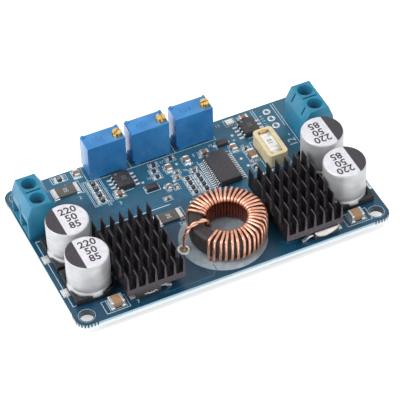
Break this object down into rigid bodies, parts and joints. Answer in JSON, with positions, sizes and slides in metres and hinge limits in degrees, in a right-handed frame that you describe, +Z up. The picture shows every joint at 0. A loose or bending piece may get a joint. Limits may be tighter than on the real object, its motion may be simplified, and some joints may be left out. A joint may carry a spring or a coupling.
{
  "type": "buck-boost converter module",
  "caption": "Bare voltage converter board with screw terminals, electrolytic capacitors, finned heatsinks, a toroid inductor, trimmers and small chips.",
  "frame": {"origin": "centre of the four mounting holes on the underside of the circuit board", "axes": "+X along the long side towards the output terminals, +Y towards the trimmer row, +Z up through the board, away from its soldered underside"},
  "size_m": [0.0776, 0.0466, 0.0143],
  "materials": {
    "laminate": "blue solder mask on laminate",
    "terminal_blue": "moulded",
    "plated_steel": "plated",
    "can_aluminium": "satin",
    "base_black": "moulded",
    "tinned": "tinned",
    "trimmer_blue": "moulded",
    "brass": "turned",
    "anodised_black": "black anodised",
    "adhesive_white": "silicone",
    "chip_black": "moulded",
    "core_grey": "coated ferrite",
    "enamelled_copper": "enamelled",
    "resistor_black": "glazed",
    "capacitor_beige": "fired",
    "cream": "moulded",
    "fuse_white": "fired",
    "gold": "gold plated",
    "led_white": "clear"
  },
  "bodies": {
    "module": {"amplifier_chip_1": "chip_black", "amplifier_chip_2": "chip_black", "amplifier_leads": "tinned", "capacitor_base_1": "base_black", "capacitor_base_2": "base_black", "capacitor_base_3": "base_black", "capacitor_base_4": "base_black", "capacitor_can_1": "can_aluminium", "capacitor_can_2": "can_aluminium", "capacitor_can_3": "can_aluminium", "capacitor_can_4": "can_aluminium", "capacitor_tabs": "tinned", "ceramic_capacitor_bodies": "capacitor_beige", "ceramic_capacitor_ends": "tinned", "chip_resistor_bodies": "resistor_black", "chip_resistor_ends": "tinned", "circuit_board": "laminate", "controller_chip": "chip_black", "controller_leads": "tinned", "diode_bodies": "chip_black", "diode_leads": "tinned", "fuse_body": "fuse_white", "fuse_contacts": "gold", "fuse_holder": "cream", "heatsink_left": "anodised_black", "heatsink_right": "anodised_black", "inductor_core": "core_grey", "inductor_winding_1": "enamelled_copper", "inductor_winding_2": "enamelled_copper", "power_transistor_1": "chip_black", "power_transistor_2": "chip_black", "power_transistor_3": "chip_black", "power_transistor_4": "chip_black", "power_transistor_metal": "tinned", "sense_resistor_bodies": "resistor_black", "sense_resistor_ends": "tinned", "solder_joints": "tinned", "status_led": "led_white", "terminal_frame_1": "plated_steel", "terminal_frame_2": "plated_steel", "terminal_frame_3": "plated_steel", "terminal_frame_4": "plated_steel", "terminal_housing_left": "terminal_blue", "terminal_housing_right": "terminal_blue", "thermal_adhesive": "adhesive_white", "trimmer_body_1": "trimmer_blue", "trimmer_body_2": "trimmer_blue", "trimmer_body_3": "trimmer_blue", "trimmer_pins": "tinned"},
    "clamp_leaf_1": {"clamp_leaf_1": "plated_steel"},
    "clamp_screw_1": {"clamp_screw_1": "plated_steel"},
    "clamp_leaf_2": {"clamp_leaf_2": "plated_steel"},
    "clamp_screw_2": {"clamp_screw_2": "plated_steel"},
    "clamp_leaf_3": {"clamp_leaf_3": "plated_steel"},
    "clamp_screw_3": {"clamp_screw_3": "plated_steel"},
    "clamp_leaf_4": {"clamp_leaf_4": "plated_steel"},
    "clamp_screw_4": {"clamp_screw_4": "plated_steel"},
    "trimmer_screw_1": {"trimmer_screw_1": "brass"},
    "trimmer_screw_2": {"trimmer_screw_2": "brass"},
    "trimmer_screw_3": {"trimmer_screw_3": "brass"}
  },
  "joints": [
    {"name": "clamp_slide_1", "type": "slide", "parent": "module", "child": "clamp_leaf_1", "axis": [0, 0, 1], "range_m": [-0.001, 0.0007]},
    {"name": "clamp_turn_1", "type": "hinge", "parent": "clamp_leaf_1", "child": "clamp_screw_1", "pos_m": [-0.035, 0.00879, 0.008], "axis": [0, 0, 1], "range_deg": [-722, 506]},
    {"name": "clamp_slide_2", "type": "slide", "parent": "module", "child": "clamp_leaf_2", "axis": [0, 0, 1], "range_m": [-0.001, 0.0007]},
    {"name": "clamp_turn_2", "type": "hinge", "parent": "clamp_leaf_2", "child": "clamp_screw_2", "pos_m": [-0.035, 0.01387, 0.008], "axis": [0, 0, 1], "range_deg": [-722, 506]},
    {"name": "clamp_slide_3", "type": "slide", "parent": "module", "child": "clamp_leaf_3", "axis": [0, 0, 1], "range_m": [-0.001, 0.0007]},
    {"name": "clamp_turn_3", "type": "hinge", "parent": "clamp_leaf_3", "child": "clamp_screw_3", "pos_m": [0.035, 0.00879, 0.008], "axis": [0, 0, 1], "range_deg": [-722, 506]},
    {"name": "clamp_slide_4", "type": "slide", "parent": "module", "child": "clamp_leaf_4", "axis": [0, 0, 1], "range_m": [-0.001, 0.0007]},
    {"name": "clamp_turn_4", "type": "hinge", "parent": "clamp_leaf_4", "child": "clamp_screw_4", "pos_m": [0.035, 0.01387, 0.008], "axis": [0, 0, 1], "range_deg": [-722, 506]},
    {"name": "trimmer_turn_1", "type": "hinge", "parent": "module", "child": "trimmer_screw_1", "pos_m": [-0.0106, 0.0197, 0.012], "axis": [0, 0, 1], "continuous": true},
    {"name": "trimmer_turn_2", "type": "hinge", "parent": "module", "child": "trimmer_screw_2", "pos_m": [0.0005, 0.0197, 0.012], "axis": [0, 0, 1], "continuous": true},
    {"name": "trimmer_turn_3", "type": "hinge", "parent": "module", "child": "trimmer_screw_3", "pos_m": [0.01175, 0.0197, 0.012], "axis": [0, 0, 1], "continuous": true}
  ],
  "couplings": [
    {"joint": "clamp_turn_1", "follows": "clamp_slide_1", "rad_per_m": 12566},
    {"joint": "clamp_turn_2", "follows": "clamp_slide_2", "rad_per_m": 12566},
    {"joint": "clamp_turn_3", "follows": "clamp_slide_3", "rad_per_m": 12566},
    {"joint": "clamp_turn_4", "follows": "clamp_slide_4", "rad_per_m": 12566}
  ]
}
